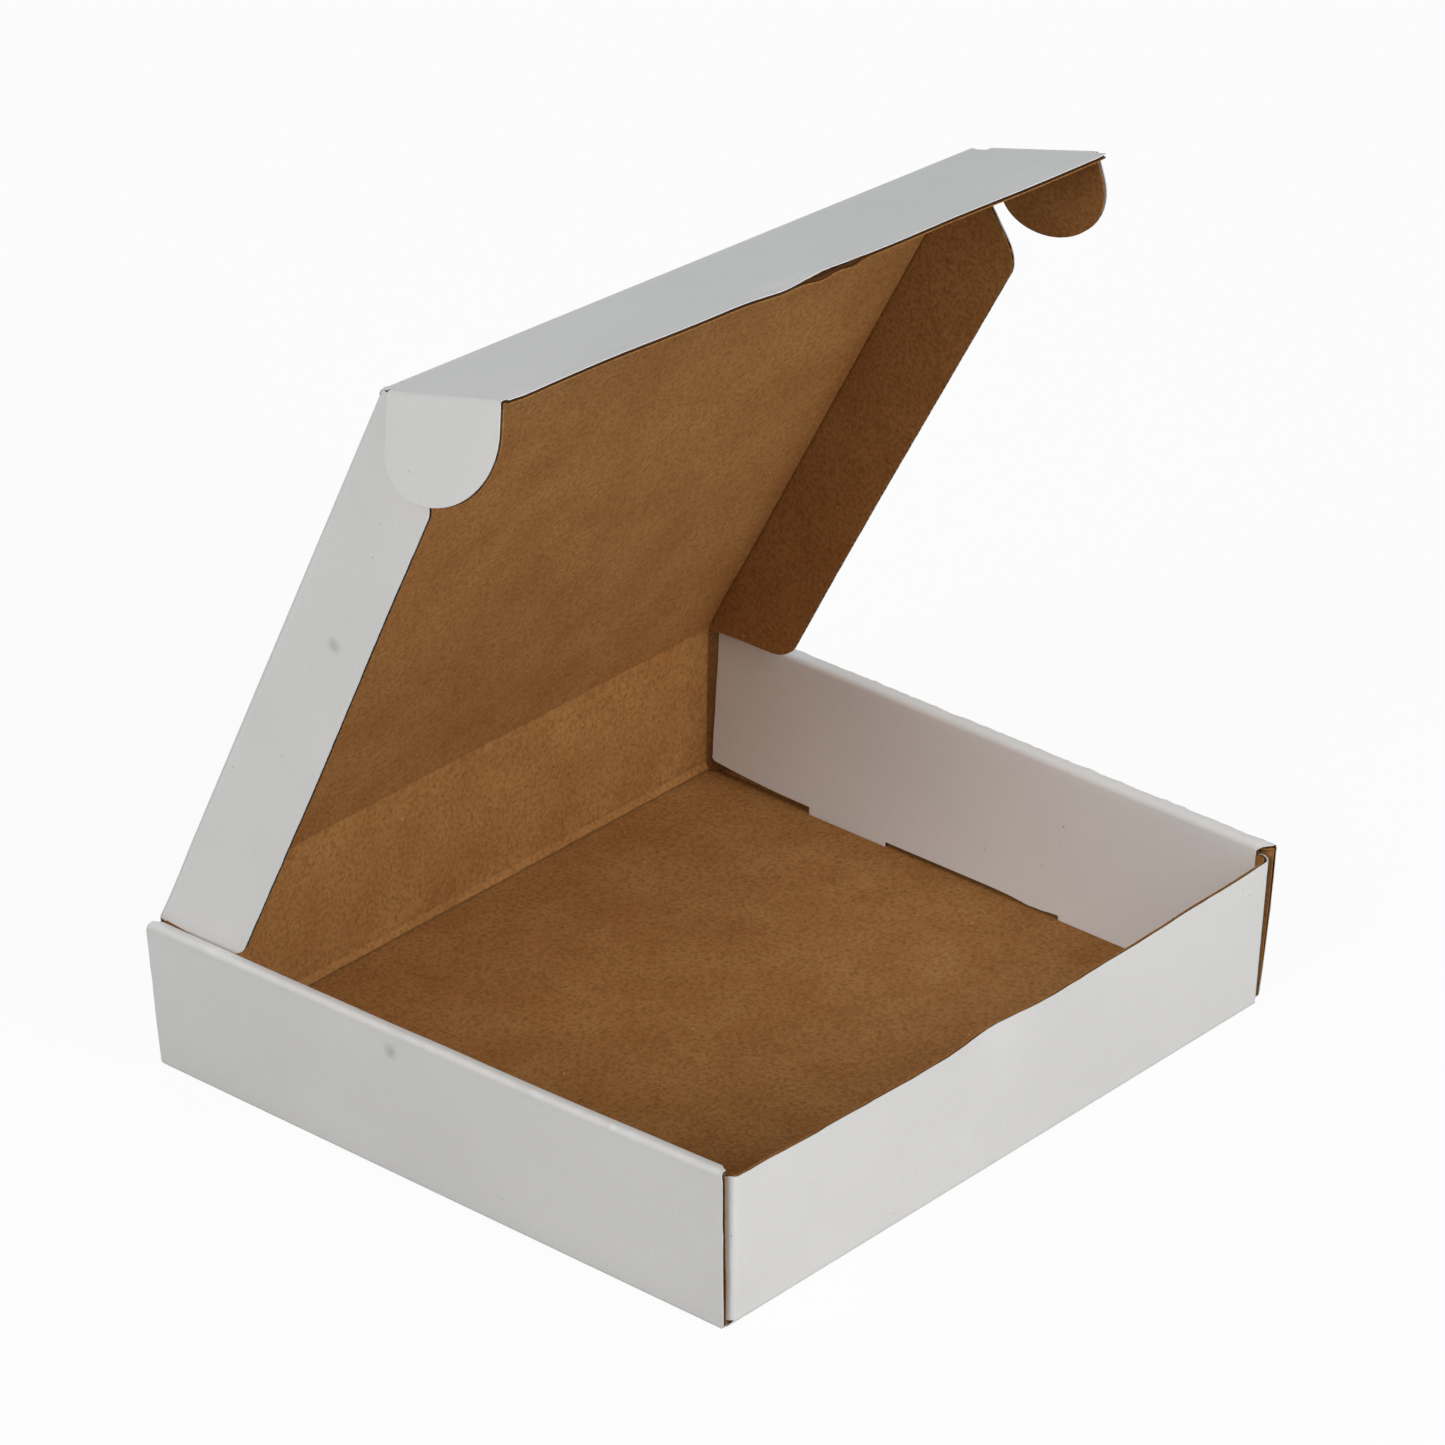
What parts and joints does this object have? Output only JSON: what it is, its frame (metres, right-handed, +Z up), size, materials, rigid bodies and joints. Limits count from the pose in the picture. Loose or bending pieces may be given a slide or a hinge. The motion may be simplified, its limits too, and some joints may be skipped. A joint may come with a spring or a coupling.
{
  "type": "mailer box",
  "caption": "Corrugated mailer box, white outside and kraft inside, with roll-over side walls and a hinged lid that has side flaps, a tuck front flap and round ears.",
  "frame": {"origin": "centre of the tray's bottom face", "axes": "+Z up; the front wall faces -Y and the lid hinges on the rear wall at +Y; X is across"},
  "size_m": [0.2603, 0.22, 0.2612],
  "materials": {
    "white_kraft_board": "matte white liner outside, brown kraft liner inside"
  },
  "bodies": {
    "tray": {"tray": "white_kraft_board"},
    "lid": {"lid": "white_kraft_board"},
    "front_flap": {"front_flap": "white_kraft_board"},
    "left_side_flap": {"left_side_flap": "white_kraft_board"},
    "right_side_flap": {"right_side_flap": "white_kraft_board"},
    "left_ear": {"left_ear": "white_kraft_board"},
    "right_ear": {"right_ear": "white_kraft_board"}
  },
  "joints": [
    {"name": "lid_hinge", "type": "hinge", "parent": "tray", "child": "lid", "pos_m": [0, 0.10925, 0.05225], "axis": [-1, 0, 0], "range_deg": [-49.5, 115.5]},
    {"name": "front_flap_hinge", "type": "hinge", "parent": "lid", "child": "front_flap", "pos_m": [0, 0.01604, 0.24766], "axis": [-1, 0, 0], "range_deg": [-40.5, 49.5]},
    {"name": "left_side_flap_hinge", "type": "hinge", "parent": "lid", "child": "left_side_flap", "pos_m": [-0.12155, 0.10925, 0.05225], "axis": [0, 0.4305, -0.9026], "range_deg": [-7, 93]},
    {"name": "right_side_flap_hinge", "type": "hinge", "parent": "lid", "child": "right_side_flap", "pos_m": [0.12155, 0.10925, 0.05225], "axis": [0, -0.4305, 0.9026], "range_deg": [-7, 93]},
    {"name": "left_ear_hinge", "type": "hinge", "parent": "front_flap", "child": "left_ear", "pos_m": [-0.12335, 0.01604, 0.24766], "axis": [0, 0.9659, -0.2588], "range_deg": [-18, 72]},
    {"name": "right_ear_hinge", "type": "hinge", "parent": "front_flap", "child": "right_ear", "pos_m": [0.12335, 0.01604, 0.24766], "axis": [0, -0.9659, 0.2588], "range_deg": [-5, 85]}
  ]
}
